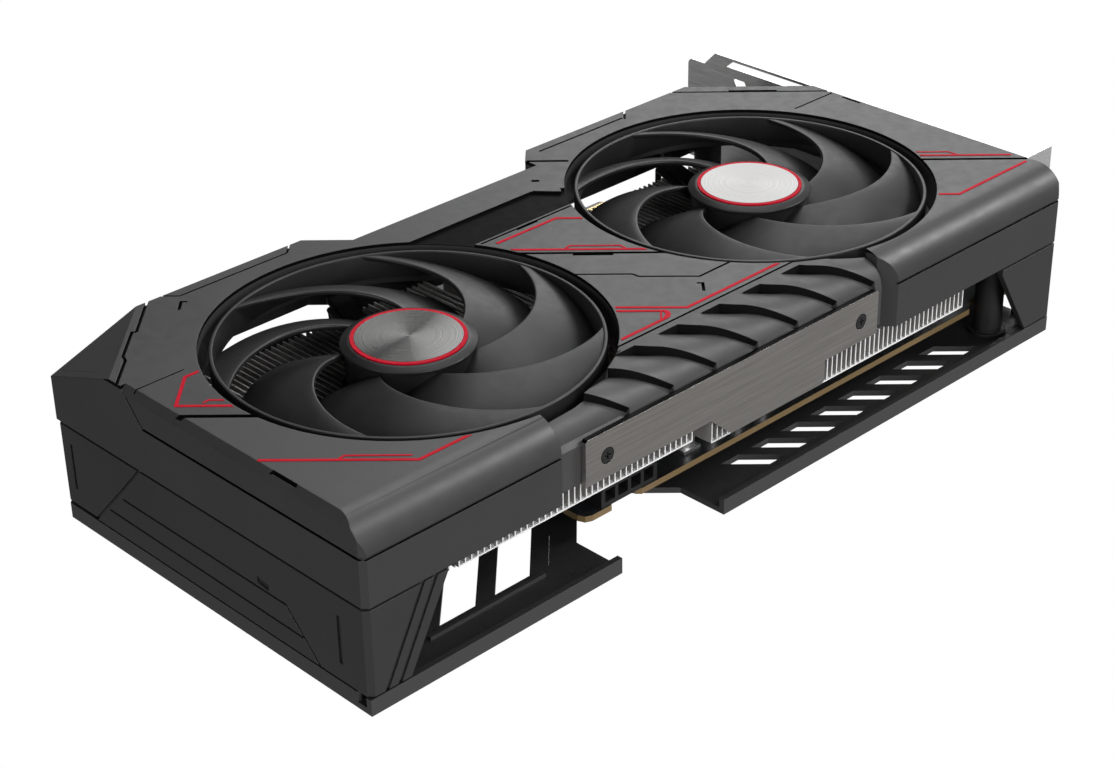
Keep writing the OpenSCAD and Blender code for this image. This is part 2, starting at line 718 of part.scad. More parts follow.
module bracket_plan() {
    y1 = tongue_tip_y;
    difference() {
        union() {
            polygon([[flange_y, bracket_z], [124, bracket_z], [128.2, bracket_z + 4.13],
                [128.2, bracket_top - 4.13], [124.1, bracket_top], [flange_y, bracket_top]]);
            for (m = slot_mid) translate([120, m - tongue_w / 2]) square([y1 - 121.6, tongue_w]);
            for (m = slot_mid) translate([120, m - tongue_w / 2 + 1.6])
                square([y1 - 120, tongue_w - 3.2]);
            for (m = slot_mid, s = [-1, 1]) translate([y1 - 1.6, m + s * (tongue_w / 2 - 1.6)])
                circle(r = 1.6);
        }
        polygon([[124.2, slot_mid[0] + tongue_w / 2], [130, slot_mid[0] + tongue_w / 2],
            [130, slot_mid[1] - tongue_w / 2], [124.2, slot_mid[1] - tongue_w / 2],
            [121.5, slot_mid[1] - 8], [121.5, slot_mid[0] + 8]]);
        for (y = dp_y) translate([y, pcb_top]) scale([1.02, 1.03]) translate([0, -0.1])
            port_outline(16.9, 2.2);
        translate([hdmi_y, pcb_top - 0.1]) scale([1.02, 1.03]) port_outline(15, 1.4);
        polygon([[119.7, bracket_top - 2.9], [117.3, bracket_top - 0.8], [36, bracket_top - 0.8],
            [33.6, bracket_top - 2.9]]);
        for (i = [0 : 9]) translate([31 + 8.2 * i, 0])
            polygon([[0, 24.4], [4.2, 24.4], [12, 37.4], [7.8, 37.4]]);
        for (p = port_screw_at) translate(p) circle(r = 1.4);
    }
}

port_screw_at = [[25.2, 11.6], [45.8, 17.2], [65.2, 17.2], [104.6, 11.6]];

module io_bracket() {
    color(steel) difference() {
        union() {
            translate([bracket_x - bracket_t, 0, 0]) along_x(bracket_t) bracket_plan();
            translate([bracket_x - bracket_t, flange_y, bracket_z])
                cube([flange_x - bracket_x + bracket_t, bracket_t, bracket_top - bracket_z]);
        }
        for (z = notch_z) translate([notch_x, flange_y + 3, z]) rotate([90, 0, 0])
            cylinder(r = 2.21, h = 6);
    }
}

module bracket_screws() {
    color(steel) for (p = port_screw_at) translate([bracket_x + 1.1, p[0], p[1]])
        rotate([0, 90, 0]) pan_screw(2.3, 1, 1.25, 3.6);
}

// ---------- heatsink ----------

pipe_y = [46, 56, 68, 78];
tail_fins = [27.03, 97.9];
main_fins = [104.34, 198.2];

module heatpipes() {
    color(copper) for (y = pipe_y) translate([28, y, pipe_z]) rotate([0, 90, 0])
        cylinder(r = pipe_r, h = 170);
}

module cold_plate() {
    color(copper) translate([gpu[0], gpu[1], cold_z]) linear_extrude(cold_t)
        square([44, 40], center = true);
}

module heatsink_plate() {
    z0 = die_z + 0.8;
    color(aluminium) difference() {
        translate([0, 0, z0]) linear_extrude(2.4) difference() {
            translate([gpu[0] - 38, gpu[1] - 38]) square([76, 76]);
            translate(gpu) square([44.4, 40.4], center = true);
            for (c = capacitor_at) translate(c) circle(r = 3.4);
        }
        for (p = spring_at) translate([p[0], p[1], z0 - 1]) cylinder(r = 1, h = 5);
    }
}

tail_low = 22.3;
main_low = 19;

module pipe_holes() {
    for (y = pipe_y) translate([y, pipe_z]) circle(r = pipe_r + 0.05);
}

module fin_profile_tail() {
    difference() {
        polygon([[2.5, tail_low], [14, tail_low], [14, 12.6], [91, 12.6], [93.2, 14.8],
            [93.2, fin_top], [2.5, fin_top]]);
        pipe_holes();
    }
}

// The main fins sit over the pipes as saddles
module fin_profile_main() {
    low = pipe_z + 0.8;
    difference() {
        polygon([[2.5, main_low], [38, main_low], [38, low], [88, low], [88, main_low],
            [93.2, main_low], [93.2, fin_top], [2.5, fin_top]]);
        pipe_holes();
    }
}

// Folded tabs that space the fins and lock them into one stack
module fin_tabs(span, z) {
    for (y = [20, 61]) translate([span[0], y, z]) cube([span[1] - span[0], 3, fin_t]);
}

// Folded feet that join the fins along their lower edge over the nameplate side
module fin_feet(span, z) {
    translate([span[0], 2.5, z]) cube([span[1] - span[0], 2.4, fin_t]);
}

module fin_stack_tail() {
    n = floor((tail_fins[1] - tail_fins[0]) / fin_pitch);
    low_end = pcb_x0 - 1.5;
    color(aluminium) difference() {
        union() {
            for (i = [0 : n]) translate([tail_fins[0] + i * fin_pitch, 0, 0])
                along_x(fin_t) fin_profile_tail();
            fin_tabs([tail_fins[0], tail_fins[0] + n * fin_pitch + fin_t], fin_top - fin_t);
            fin_tabs([tail_fins[0], low_end], 12.6);
            fin_feet([tail_fins[0], tail_fins[0] + n * fin_pitch + fin_t], tail_low);
        }
        translate([low_end, 0, 0]) cube([40, 26, 20.4]);
        translate([low_end, 0, 0]) cube([40, 100, pcb_top + 6.2]);
    }
}

module fin_stack_main() {
    n = floor((main_fins[1] - main_fins[0]) / fin_pitch);
    span = [main_fins[0], main_fins[0] + n * fin_pitch + fin_t];
    color(aluminium) difference() {
        union() {
            for (i = [0 : n]) translate([main_fins[0] + i * fin_pitch, 0, 0])
                along_x(fin_t) fin_profile_main();
            fin_tabs(span, fin_top - fin_t);
            fin_feet(span, main_low);
        }
        translate([band_x[1] - 0.5, 0, seam_z - 0.5]) cube([8.2, 7.4, 20]);
    }
}

module retention_bracket() {
    r = norm(spring_at[0] - gpu);
    color(steel) translate([gpu[0], gpu[1], pcb_z - 1.2]) linear_extrude(1.2) difference() {
        union() {
            for (a = [45, 135]) rotate(a) square([2 * r, 7], center = true);
            for (a = [45 : 90 : 315]) rotate(a) translate([r, 0]) circle(r = 4);
            circle(r = 11);
        }
        for (a = [45 : 90 : 315]) rotate(a) translate([r, 0]) circle(r = 1.6);
        circle(r = 6);
    }
}

module spring_screws() {
    color(steel) for (p = spring_at) translate([p[0], p[1], 0.8]) mirror([0, 0, 1])
        pan_screw(2.8, 1, 0.95, 10);
}

// Closed helix of round wire
module helix(radius, wire_r, height, turns, sides = 6, steps = 12) {
    n = turns * steps;
    pts = [for (i = [0 : n], k = [0 : sides - 1])
        let (a = 360 * i / steps, b = 360 * k / sides, q = radius + wire_r * cos(b))
        [q * cos(a), q * sin(a), height * i / n + wire_r * sin(b)]];
    walls = [for (i = [0 : n - 1], k = [0 : sides - 1], t = [0, 1])
        let (a = i * sides + k, b = i * sides + (k + 1) % sides)
        t == 0 ? [a, b, a + sides] : [b, b + sides, a + sides]];
    caps = [[for (k = [sides - 1 : -1 : 0]) k], [for (k = [0 : sides - 1]) n * sides + k]];
    polyhedron(pts, concat(walls, caps));
}

module retention_springs() {
    color(steel) for (p = spring_at) translate([p[0], p[1], 2.15]) helix(2.1, 0.25, 3.1, 3);
}

// ---------- fan wiring ----------

module fan_sockets() {
    color([0.85, 0.83, 0.78]) for (y = [100, 110]) translate([100, y, pcb_top]) difference() {
        cube([8, 5, 5.5]);
        translate([1, 1, 1.5]) cube([6, 3, 6]);
    }
}

lead_r = 0.9;

// Rings of a lead that follows route, as one closed tube
module lead(route, sides = 8) {
    n = len(route);
    dirs = [for (i = [0 : n - 1]) let (d = route[min(i + 1, n - 1)] - route[max(i - 1, 0)]) d / norm(d)];
    pts = [for (i = [0 : n - 1], k = [0 : sides - 1])
        let (d = dirs[i], h = norm([d[0], d[1]]) > 0.1 ? [0, 0, 1] : [0, 1, 0],
            s = cross(d, h) / norm(cross(d, h)), t = cross(s, d), b = 360 * k / sides)
        route[i] + lead_r * (cos(b) * s + sin(b) * t)];
    walls = [for (i = [0 : n - 2], k = [0 : sides - 1], t = [0, 1])
        let (a = i * sides + k, b = i * sides + (k + 1) % sides)
        t == 0 ? [a, a + sides, b] : [b, a + sides, b + sides]];
    caps = [[for (k = [0 : sides - 1]) k], [for (k = [sides - 1 : -1 : 0]) (n - 1) * sides + k]];
    polyhedron(pts, concat(walls, caps));
}

// A lead leaves the hub along an arm of its frame and turns down past the fins
function lead_start(f) =
    let (b = arm_angles[0], u = [cos(b), sin(b)], v = [-sin(b), cos(b)], p = f + 16.2 * u + 3.6 * v,
        q = f + 43 * u + 3.6 * v)
    [[p[0], p[1], 32.6], [q[0], q[1], 32.6], [q[0] + 0.8, q[1] + 0.6, 31.6],
        [q[0] + 1.2, q[1] + 1.1, 28]];

function lead_end(y) = [[102.6, y, 15.4], [104, y, 13], [104, y, 10.4]];

lead_1 = concat(lead_start(fans[0]), [[78, 96.6, 22], [83, 97.4, 18], [92, 100, 17], [99, 102, 17]],
    lead_end(102.5));
lead_2 = concat(lead_start(fans[1]),
    [[185, 96.8, 22], [182, 98, 18.5], [175, 101, 17], [150, 106, 17], [125, 110, 17],
        [110, 112.4, 17]],
    lead_end(112.5));

module fan_leads() {
    color(dark) {
        lead(lead_1);
        lead(lead_2);
    }
}

// ---------- fans ----------

// Where the arm at angle a ends, under the fan's ring
function arm_end(a) = (opening_r + 0.8) * [cos(a), sin(a), 0];

module fan_frame() {
    color(dark) translate([0, 0, frame_z]) difference() {
        union() {
            cylinder(r = 15.5, h = frame_t);
            translate([0, 0, frame_t - eps]) cylinder(r = 4.4, h = 3.2);
            for (a = arm_angles) rotate(a) translate([14, -2.5, 0]) cube([33.8, 5, frame_t]);
            for (a = arm_angles) translate(arm_end(a)) cylinder(r = 2.6, h = frame_t);
            for (a = arm_angles) translate([0, 0, frame_t - eps] + arm_end(a))
                cylinder(r = 0.78, h = duct_z - frame_z - frame_t + eps);
        }
        translate([0, 0, 0.8]) cylinder(r = 3.22, h = 9);
        for (a = arm_angles) translate([0, 0, -1] + arm_end(a)) cylinder(r = 0.5, h = 9, $fn = 24);
    }
}

module fan_screws() {
    color(dark) for (a = arm_angles) rotate(a) translate([opening_r + 0.8, 0, frame_z - 0.65])
        mirror([0, 0, 1]) pan_screw(1.3, 0.6, 0.45, 6.2);
}

module fan_bearing() {
    color([0.75, 0.6, 0.35]) translate([0, 0, frame_z + 0.8]) difference() {
        cylinder(r = 3.2, h = 9.2);
        translate([0, 0, 0.8]) cylinder(r = 1.54, h = 10);
    }
}

module fan_stator() {
    z0 = frame_z + 5.2;
    color(copper) translate([0, 0, z0]) difference() {
        union() {
            cylinder(r = 5.2, h = 4.6);
            for (a = [0 : 60 : 300]) rotate(a) {
                translate([4, -1.6, 0.4]) cube([5.4, 3.2, 3.8]);
                intersection() {
                    difference() {
                        cylinder(r = 10.5, h = 4.6);
                        translate([0, 0, -1]) cylinder(r = 8.9, h = 8);
                    }
                    translate([6, -4, 0]) cube([8, 8, 4.6]);
                }
            }
        }
        translate([0, 0, -1]) cylinder(r = 3.24, h = 8);
    }
}

module fan_circuit() {
    color([0.1, 0.25, 0.15]) translate([0, 0, frame_z + frame_t]) difference() {
        cylinder(r = 11.5, h = 1);
        translate([0, 0, -1]) cylinder(r = 4.6, h = 3);
    }
}

blade_rows = 9;
blade_cols = 6;

// Leading-edge angle, chord angle and height of a blade, with s from 0 at the hub to 1 at the ring
function blade_lead(s) = blade_sweep * s - 12.5;
function blade_chord(s) = 39.5 + 60 * s - 55 * s * s;
function blade_high(s) = 44.3 - 2.4 * pow(1 - s, 4);
function blade_low(s) = 35.9 + 0.5 * s;
function blade_thick(c) = 0.5 + 0.7 * sin(180 * min(c + 0.12, 1));

function blade_point(i, j, side) =
    let (s = i / blade_rows, c = j / blade_cols, r = 14.2 + (ring_r - 0.5 - 14.2) * s,
        a = blade_lead(s) - blade_chord(s) * c,
        z = blade_high(s) - (blade_high(s) - blade_low(s)) * (0.62 * c + 0.38 * c * c))
    [r * cos(a), r * sin(a), z + side * blade_thick(c)];

module blade() {
    grid_solid(
        [for (i = [0 : blade_rows], j = [0 : blade_cols]) blade_point(i, j, -0.5)],
        [for (i = [0 : blade_rows], j = [0 : blade_cols]) blade_point(i, j, 0.5)],
        blade_cols + 1);
}

module fan_rotor(phase) {
    color(satin) union() {
        translate([0, 0, rotor_z]) difference() {
            union() {
                cylinder(r = hub_r - 0.8, h = 8);
                translate([0, 0, 7.8]) cylinder(r = hub_r, h = 1.1);
                translate([0, 0, 8.8]) cylinder(r1 = hub_r, r2 = 13.9, h = rotor_top - rotor_z - 8.8);
            }
            translate([0, 0, -1]) cylinder(r = hub_r - 2.9, h = rotor_top - rotor_z - 0.5);
        }
        translate([0, 0, 38.4]) difference() {
            cylinder(r = ring_r, h = rotor_top - 38.4, $fn = 128);
            translate([0, 0, -1]) cylinder(r = ring_r - 1, h = 20, $fn = 128);
        }
        for (k = [0 : blades - 1]) rotate(phase + 360 * k / blades) blade();
    }
}

module fan_cap() {
    color(aluminium) translate([0, 0, rotor_top]) cylinder(r = 12.3, h = cap_top - rotor_top);
}

module fan_trim_ring() {
    color(crimson) translate([0, 0, rotor_top]) difference() {
        cylinder(r = 13.25, h = 0.35);
        translate([0, 0, -1]) cylinder(r = 12.35, h = 3);
    }
}

module fan_magnet() {
    color([0.3, 0.3, 0.32]) translate([0, 0, rotor_z + 0.2]) difference() {
        cylinder(r = hub_r - 3, h = 6.6);
        translate([0, 0, -1]) cylinder(r = 11.2, h = 10);
    }
}

module fan_shaft() {
    color(steel) translate([0, 0, frame_z + 1.9]) cylinder(r = 1.5, h = rotor_top - 1.5 - frame_z - 1.9);
}

module at_fan(k) {
    card_frame() translate([fans[k][0], fans[k][1], 0]) children();
}

card_frame() backplate();
card_frame() backplate_screws();
card_frame() pcb();
card_frame() edge_contacts();
card_frame() gpu_package();
card_frame() gpu_die();
card_frame() memory_chips();
card_frame() thermal_pads();
card_frame() chokes();
card_frame() power_stages();
card_frame() capacitors();
card_frame() controller_chips();
card_frame() power_connector();
card_frame() power_pins();
card_frame() hdmi_port();
card_frame() displayport_ports();
card_frame() port_tongues();
card_frame() io_bracket();
card_frame() bracket_screws();
card_frame() cold_plate();
card_frame() heatsink_plate();
card_frame() heatpipes();
card_frame() fin_stack_tail();
card_frame() fin_stack_main();
card_frame() retention_bracket();
card_frame() spring_screws();
card_frame() retention_springs();
card_frame() shroud();
card_frame() accent_lines();
card_frame() louvre_band();
card_frame() tail_skirt();
card_frame() port_skirt();
card_frame() support_posts();
card_frame() nameplate();
card_frame() nameplate_screws();
card_frame() shroud_screws();
card_frame() fan_sockets();
card_frame() fan_leads();
at_fan(0) fan_frame();  // fan_1_frame
at_fan(0) fan_screws();  // fan_1_screws
at_fan(0) fan_bearing();  // fan_1_bearing
at_fan(0) fan_stator();  // fan_1_stator
at_fan(0) fan_circuit();  // fan_1_circuit
at_fan(0) fan_rotor(blade_phase[0]);  // fan_1_rotor
at_fan(0) fan_cap();  // fan_1_cap
at_fan(0) fan_trim_ring();  // fan_1_trim_ring
at_fan(0) fan_magnet();  // fan_1_magnet
at_fan(0) fan_shaft();  // fan_1_shaft
at_fan(1) fan_frame();  // fan_2_frame
at_fan(1) fan_screws();  // fan_2_screws
at_fan(1) fan_bearing();  // fan_2_bearing
at_fan(1) fan_stator();  // fan_2_stator
at_fan(1) fan_circuit();  // fan_2_circuit
at_fan(1) fan_rotor(blade_phase[1]);  // fan_2_rotor
at_fan(1) fan_cap();  // fan_2_cap
at_fan(1) fan_trim_ring();  // fan_2_trim_ring
at_fan(1) fan_magnet();  // fan_2_magnet
at_fan(1) fan_shaft();  // fan_2_shaft
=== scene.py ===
import math

import bmesh
import bpy
from mathutils import Matrix, Vector


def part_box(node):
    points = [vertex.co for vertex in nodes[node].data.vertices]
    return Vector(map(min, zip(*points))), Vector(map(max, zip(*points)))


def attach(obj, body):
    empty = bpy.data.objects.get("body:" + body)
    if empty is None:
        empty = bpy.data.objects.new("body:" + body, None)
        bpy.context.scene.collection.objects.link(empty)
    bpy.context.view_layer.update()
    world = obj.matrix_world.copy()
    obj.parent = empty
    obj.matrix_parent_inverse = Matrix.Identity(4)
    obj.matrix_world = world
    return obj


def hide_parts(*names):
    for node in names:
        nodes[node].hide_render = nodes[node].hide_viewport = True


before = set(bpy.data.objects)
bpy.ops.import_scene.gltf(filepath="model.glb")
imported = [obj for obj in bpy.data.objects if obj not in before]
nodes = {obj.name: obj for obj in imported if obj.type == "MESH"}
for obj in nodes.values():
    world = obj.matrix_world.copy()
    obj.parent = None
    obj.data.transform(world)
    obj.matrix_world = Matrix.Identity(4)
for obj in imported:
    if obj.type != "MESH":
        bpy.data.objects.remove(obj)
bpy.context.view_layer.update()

# A two-fan graphics card. The CAD nodes get materials; the fans' rotors and the louvres get smooth meshes.
# Sizes are in mm, measured from the card's tail (x), its nameplate side (y) and its resting face (z).

MM = 0.001
SHROUD_LOW, SHROUD_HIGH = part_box("shroud")
X0 = SHROUD_LOW.x / MM
Y0 = SHROUD_LOW.y / MM
TOP = SHROUD_HIGH.z / MM


def at(x, y, z):
    """A point given in the card's own mm."""
    return Vector(((x + X0) * MM, (y + Y0) * MM, z * MM))


def middle_of(name):
    """Middle of a node's box, as x and y in the card's own mm."""
    low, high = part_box(name)
    return (low.x + high.x) / 2 / MM - X0, (low.y + high.y) / 2 / MM - Y0


# ---------- materials ----------


def links(mat):
    """Nodes and links of a material."""
    return mat.node_tree.nodes, mat.node_tree.links


def shader_of(mat):
    return mat.node_tree.nodes["Principled BSDF"]


def new_material(name, colour, roughness, metallic=0.0, specular=0.5):
    mat = bpy.data.materials.new(name)
    mat.use_nodes = True
    shader = shader_of(mat)
    shader.inputs["Base Color"].default_value = (*colour, 1)
    shader.inputs["Roughness"].default_value = roughness
    shader.inputs["Metallic"].default_value = metallic
    shader.inputs["Specular IOR Level"].default_value = specular
    return mat


def feed(mat, name, value):
    """Link a socket to the input of the material's shader with this name."""
    mat.node_tree.links.new(value, shader_of(mat).inputs[name])


def base_colour(mat):
    """The socket that feeds the base colour."""
    return shader_of(mat).inputs["Base Color"].links[0].from_socket


def coords(mat, scale=(1, 1, 1)):
    """Object coordinates in mm, stretched by scale."""
    ns, ls = links(mat)
    tex = ns.new("ShaderNodeTexCoord")
    mapping = ns.new("ShaderNodeMapping")
    mapping.inputs["Scale"].default_value = [1 / MM * s for s in scale]
    ls.new(tex.outputs["Object"], mapping.inputs["Vector"])
    return mapping.outputs["Vector"]


NOISE_LOW, NOISE_HIGH = 0.3, 0.7


def noise(mat, scale, detail=3.0, stretch=(1, 1, 1)):
    ns, ls = links(mat)
    n = ns.new("ShaderNodeTexNoise")
    n.inputs["Scale"].default_value = scale
    n.inputs["Detail"].default_value = detail
    ls.new(coords(mat, stretch), n.inputs["Vector"])
    return n.outputs["Fac"]


def ramp(mat, value, stops):
    """Colour for a value, from stops of (value, colour)."""
    ns, ls = links(mat)
    r = ns.new("ShaderNodeValToRGB")
    r.color_ramp.elements[0].position = stops[0][0]
    r.color_ramp.elements[0].color = (*stops[0][1], 1)
    r.color_ramp.elements[1].position = stops[-1][0]
    r.color_ramp.elements[1].color = (*stops[-1][1], 1)
    for pos, col in stops[1:-1]:
        r.color_ramp.elements.new(pos).color = (*col, 1)
    ls.new(value, r.inputs["Fac"])
    return r.outputs["Color"]


def spread(mat, value, low, high):
    """A noise value's middle range, mapped to low..high."""
    ns, ls = links(mat)
    m = ns.new("ShaderNodeMapRange")
    m.inputs["From Min"].default_value = NOISE_LOW
    m.inputs["From Max"].default_value = NOISE_HIGH
    m.inputs["To Min"].default_value = low
    m.inputs["To Max"].default_value = high
    ls.new(value, m.inputs["Value"])
    return m.outputs["Result"]


def shade(colour, k):
    return tuple(min(1, c * k) for c in colour)


def noise_colours(mat, value, dark, light):
    """Colour from dark to light over a noise value's middle range."""
    return ramp(mat, value, [(NOISE_LOW, dark), (NOISE_HIGH, light)])


def mottle(mat, colour, scale, amount, stretch=(1, 1, 1)):
    """Base colour that varies by +-amount."""
    value = noise(mat, scale, 4.0, stretch)
    feed(mat, "Base Color", noise_colours(mat, value, shade(colour, 1 - amount), shade(colour, 1 + amount)))


def rough_spread(mat, scale, low, high, stretch=(1, 1, 1)):
    """Roughness that varies between low and high."""
    feed(mat, "Roughness", spread(mat, noise(mat, scale, 3.0, stretch), low, high))


def bump(mat, height, strength, distance, edge=0.0):
    """Bump from a height value, over rounded edges of radius edge in mm."""
    ns, ls = links(mat)
    b = ns.new("ShaderNodeBump")
    b.inputs["Strength"].default_value = strength
    b.inputs["Distance"].default_value = distance * MM
    ls.new(height, b.inputs["Height"])
    if edge:
        bevel = ns.new("ShaderNodeBevel")
        bevel.samples = 6
        bevel.inputs["Radius"].default_value = edge * MM
        ls.new(bevel.outputs["Normal"], b.inputs["Normal"])
    feed(mat, "Normal", b.outputs["Normal"])


def mask_by(mat, kind, axis, low, high, absolute=False):
    """0 to 1 as one component of the position (in mm) or true normal goes from low to high."""
    ns, ls = links(mat)
    if kind == "position":
        tex = ns.new("ShaderNodeTexCoord")
        out = tex.outputs["Object"]
        unit = MM
    else:
        geo = ns.new("ShaderNodeNewGeometry")
        out = geo.outputs["True Normal"]
        unit = 1
    sep = ns.new("ShaderNodeSeparateXYZ")
    ls.new(out, sep.inputs[0])
    value = sep.outputs["XYZ".index(axis)]
    if absolute:
        m = ns.new("ShaderNodeMath")
        m.operation = "ABSOLUTE"
        ls.new(value, m.inputs[0])
        value = m.outputs[0]
    r = ns.new("ShaderNodeMapRange")
    r.inputs["From Min"].default_value = low * unit
    r.inputs["From Max"].default_value = high * unit
    ls.new(value, r.inputs["Value"])
    return r.outputs["Result"]


def combine(mat, operation, a, b):
    """Two number sockets put through a maths operation."""
    ns, ls = links(mat)
    m = ns.new("ShaderNodeMath")
    m.operation = operation
    ls.new(a, m.inputs[0])
    ls.new(b, m.inputs[1])
    return m.outputs[0]


def mix_value(mat, fac, a, b):
    """Number a where fac is 0 and b where it is 1."""
    ns, ls = links(mat)
    m = ns.new("ShaderNodeMix")
    ls.new(fac, m.inputs["Factor"])
    m.inputs[2].default_value = a
    m.inputs[3].default_value = b
    return m.outputs[0]


def mix_colour(mat, fac, a, b):
    """Colour a where fac is 0 and b where it is 1; each is a socket or a colour."""
    ns, ls = links(mat)
    m = ns.new("ShaderNodeMix")
    m.data_type = "RGBA"
    ls.new(fac, m.inputs["Factor"])
    for sock, val in ((m.inputs[6], a), (m.inputs[7], b)):
        if isinstance(val, tuple):
            sock.default_value = (*val, 1)
        else:
            ls.new(val, sock)
    return m.outputs[2]


def moulded(name, colour, rough=0.42, grain=0.22, edge=0.25, specular=0.45):
    """Satin moulded plastic with a fine spark-eroded grain and soft moulded edges."""
    mat = new_material(name, colour, rough, 0.0, specular)
    mottle(mat, colour, 0.05, 0.07)
    rough_spread(mat, 0.4, rough - 0.04, rough + 0.05)
    bump(mat, noise(mat, 3.2, 2.0), grain, 0.05, edge)
    return mat


def grooved_plastic():
    """Shroud plastic whose cut grooves are painted near black, a painted shade: their floors, and their walls
    just below the top.
    """
    mat = moulded("shroud_plastic", (0.034, 0.034, 0.035))
    floor = combine(mat, "MULTIPLY", mask_by(mat, "normal", "Z", 0.94, 0.96),
                    mask_by(mat, "position", "Z", TOP - 0.3, TOP - 0.5))
    wall = combine(mat, "MULTIPLY", mask_by(mat, "normal", "Z", 0.25, 0.15, True),
                   mask_by(mat, "position", "Z", TOP - 0.95, TOP - 0.8))
    # painted shade: groove floors and the walls just below the top get a near-black colour and almost no
    # specular
    painted_groove_shade = combine(mat, "MAXIMUM", floor, wall)
    feed(mat, "Base Color", mix_colour(mat, painted_groove_shade, base_colour(mat), (0.003, 0.003, 0.003)))
    feed(mat, "Specular IOR Level", mix_value(mat, painted_groove_shade, 0.4, 0.02))
    return mat


def painted(name, colour, rough, grain=0.3, edge=0.12):
    """Powder coat on steel: fine orange peel."""
    mat = new_material(name, colour, rough)
    mottle(mat, colour, 0.08, 0.08)
    rough_spread(mat, 0.6, rough - 0.05, rough + 0.06)
    bump(mat, noise(mat, 1.6, 3.0), grain, 0.04, edge)
    return mat


def metal(name, colour, rough, stretch=(1, 1, 1), scale=1.0, grain=0.2, aniso=0.0, edge=0.08, vary=0.08):
    """Bare metal with rolling or brushing marks along the stretched axis."""
    mat = new_material(name, colour, rough, 1.0)
    mottle(mat, colour, scale, vary, stretch)
    rough_spread(mat, scale * 1.7, rough - 0.06, rough + 0.08, stretch)
    bump(mat, noise(mat, scale * 2.3, 3.0, stretch), grain, 0.02, edge)
    shader_of(mat).inputs["Anisotropic"].default_value = aniso
    return mat


def fin_metal():
    """Aluminium fins: edges painted near white, a painted highlight, and duller faces."""
    face, metallic = (0.4, 0.39, 0.38), 0.35
    mat = new_material("fin_aluminium", face, 0.5, metallic)
    mottle(mat, face, 0.25, 0.12)
    # painted highlight: the fins' edges, the faces not turned along x, get a near-white colour and less
    # metallic
    cut = mask_by(mat, "normal", "X", 0.7, 0.3, True)
    feed(mat, "Base Color", mix_colour(mat, cut, base_colour(mat), (0.95, 0.95, 0.95)))
    feed(mat, "Metallic", mix_value(mat, cut, metallic, 0.25))
    bump(mat, noise(mat, 0.8, 3.0, (1, 0.2, 1)), 0.15, 0.02)
    return mat


def board_material():
    """Black solder mask with faint tracks on the faces, bare laminate on the cut edges."""
    mask = (0.012, 0.013, 0.014)
    mat = new_material("circuit_board", mask, 0.3, 0.0, 0.5)
    ns, ls = links(mat)
    cells = ns.new("ShaderNodeTexVoronoi")
    cells.feature = "DISTANCE_TO_EDGE"
    cells.distance = "CHEBYCHEV"
    cells.inputs["Scale"].default_value = 0.22
    ls.new(coords(mat), cells.inputs["Vector"])
    tracks = ramp(mat, cells.outputs["Distance"], [(0.0, (0.03, 0.032, 0.034)), (0.05, mask), (1.0, mask)])
    layers = ns.new("ShaderNodeTexWave")
    layers.bands_direction = "Z"
    layers.inputs["Scale"].default_value = 0.9
    layers.inputs["Distortion"].default_value = 0.6
    ls.new(coords(mat), layers.inputs["Vector"])
    edge = ramp(mat, layers.outputs["Fac"], [(0.2, (0.16, 0.1, 0.045)), (0.8, (0.27, 0.19, 0.09))])
    side = mask_by(mat, "normal", "Z", 0.6, 0.4, True)
    feed(mat, "Base Color", mix_colour(mat, side, tracks, edge))
    bump(mat, noise(mat, 1.0, 2.0), 0.1, 0.02)
    return mat


def crimson():
    """Flat crimson paint."""
    mat = painted("crimson_paint", (0.42, 0.0, 0.014), 0.6, 0.15, 0.0)
    shader_of(mat).inputs["Specular IOR Level"].default_value = 0.12
    return mat


def chip_material():
    """Moulded black resin."""
    resin = (0.02, 0.02, 0.021)
    mat = new_material("chip_resin", resin, 0.5)
    mottle(mat, resin, 0.5, 0.2)
    bump(mat, noise(mat, 6.0, 2.0), 0.3, 0.02, 0.08)
    return mat


def spun_metal():
    """Spun aluminium: fine rings and a radial sheen."""
    dark, light = (0.17, 0.17, 0.167), (0.3, 0.297, 0.293)
    mat = new_material("spun_aluminium", light, 0.16, 1.0)
    ns, ls = links(mat)
    tangent = ns.new("ShaderNodeTangent")
    tangent.direction_type = "RADIAL"
    tangent.axis = "Z"
    feed(mat, "Tangent", tangent.outputs["Tangent"])
    shader_of(mat).inputs["Anisotropic"].default_value = 1.0
    shader_of(mat).inputs["Anisotropic Rotation"].default_value = 0.25
    tex = ns.new("ShaderNodeTexCoord")
    mapping = ns.new("ShaderNodeMapping")
    mapping.inputs["Location"].default_value = (-0.5, -0.5, 0)
    ls.new(tex.outputs["Generated"], mapping.inputs["Vector"])
    sep = ns.new("ShaderNodeSeparateXYZ")
    ls.new(mapping.outputs["Vector"], sep.inputs[0])
    flat = ns.new("ShaderNodeCombineXYZ")
    ls.new(sep.outputs["X"], flat.inputs["X"])
    ls.new(sep.outputs["Y"], flat.inputs["Y"])
    length = ns.new("ShaderNodeVectorMath")
    length.operation = "LENGTH"
    ls.new(flat.outputs[0], length.inputs[0])
    n = ns.new("ShaderNodeTexNoise")
    n.noise_dimensions = "1D"
    n.inputs["Scale"].default_value = 130.0
    n.inputs["Detail"].default_value = 3.0
    ls.new(length.outputs["Value"], n.inputs["W"])
    feed(mat, "Base Color", noise_colours(mat, n.outputs["Fac"], dark, light))
    feed(mat, "Roughness", spread(mat, n.outputs["Fac"], 0.14, 0.18))
    return mat


def backplate_coat():
    """Powder coat, black, with its rim and edges painted dark grey: a painted sheen on the side faces."""
    mat = painted("backplate_coat", (0.012, 0.012, 0.0125), 0.5)
    # painted light: side faces are painted a lighter grey than the faces that look up or down
    side = mask_by(mat, "normal", "Z", 0.7, 0.4, True)
    feed(mat, "Base Color", mix_colour(mat, side, base_colour(mat), (0.04, 0.04, 0.041)))
    return mat


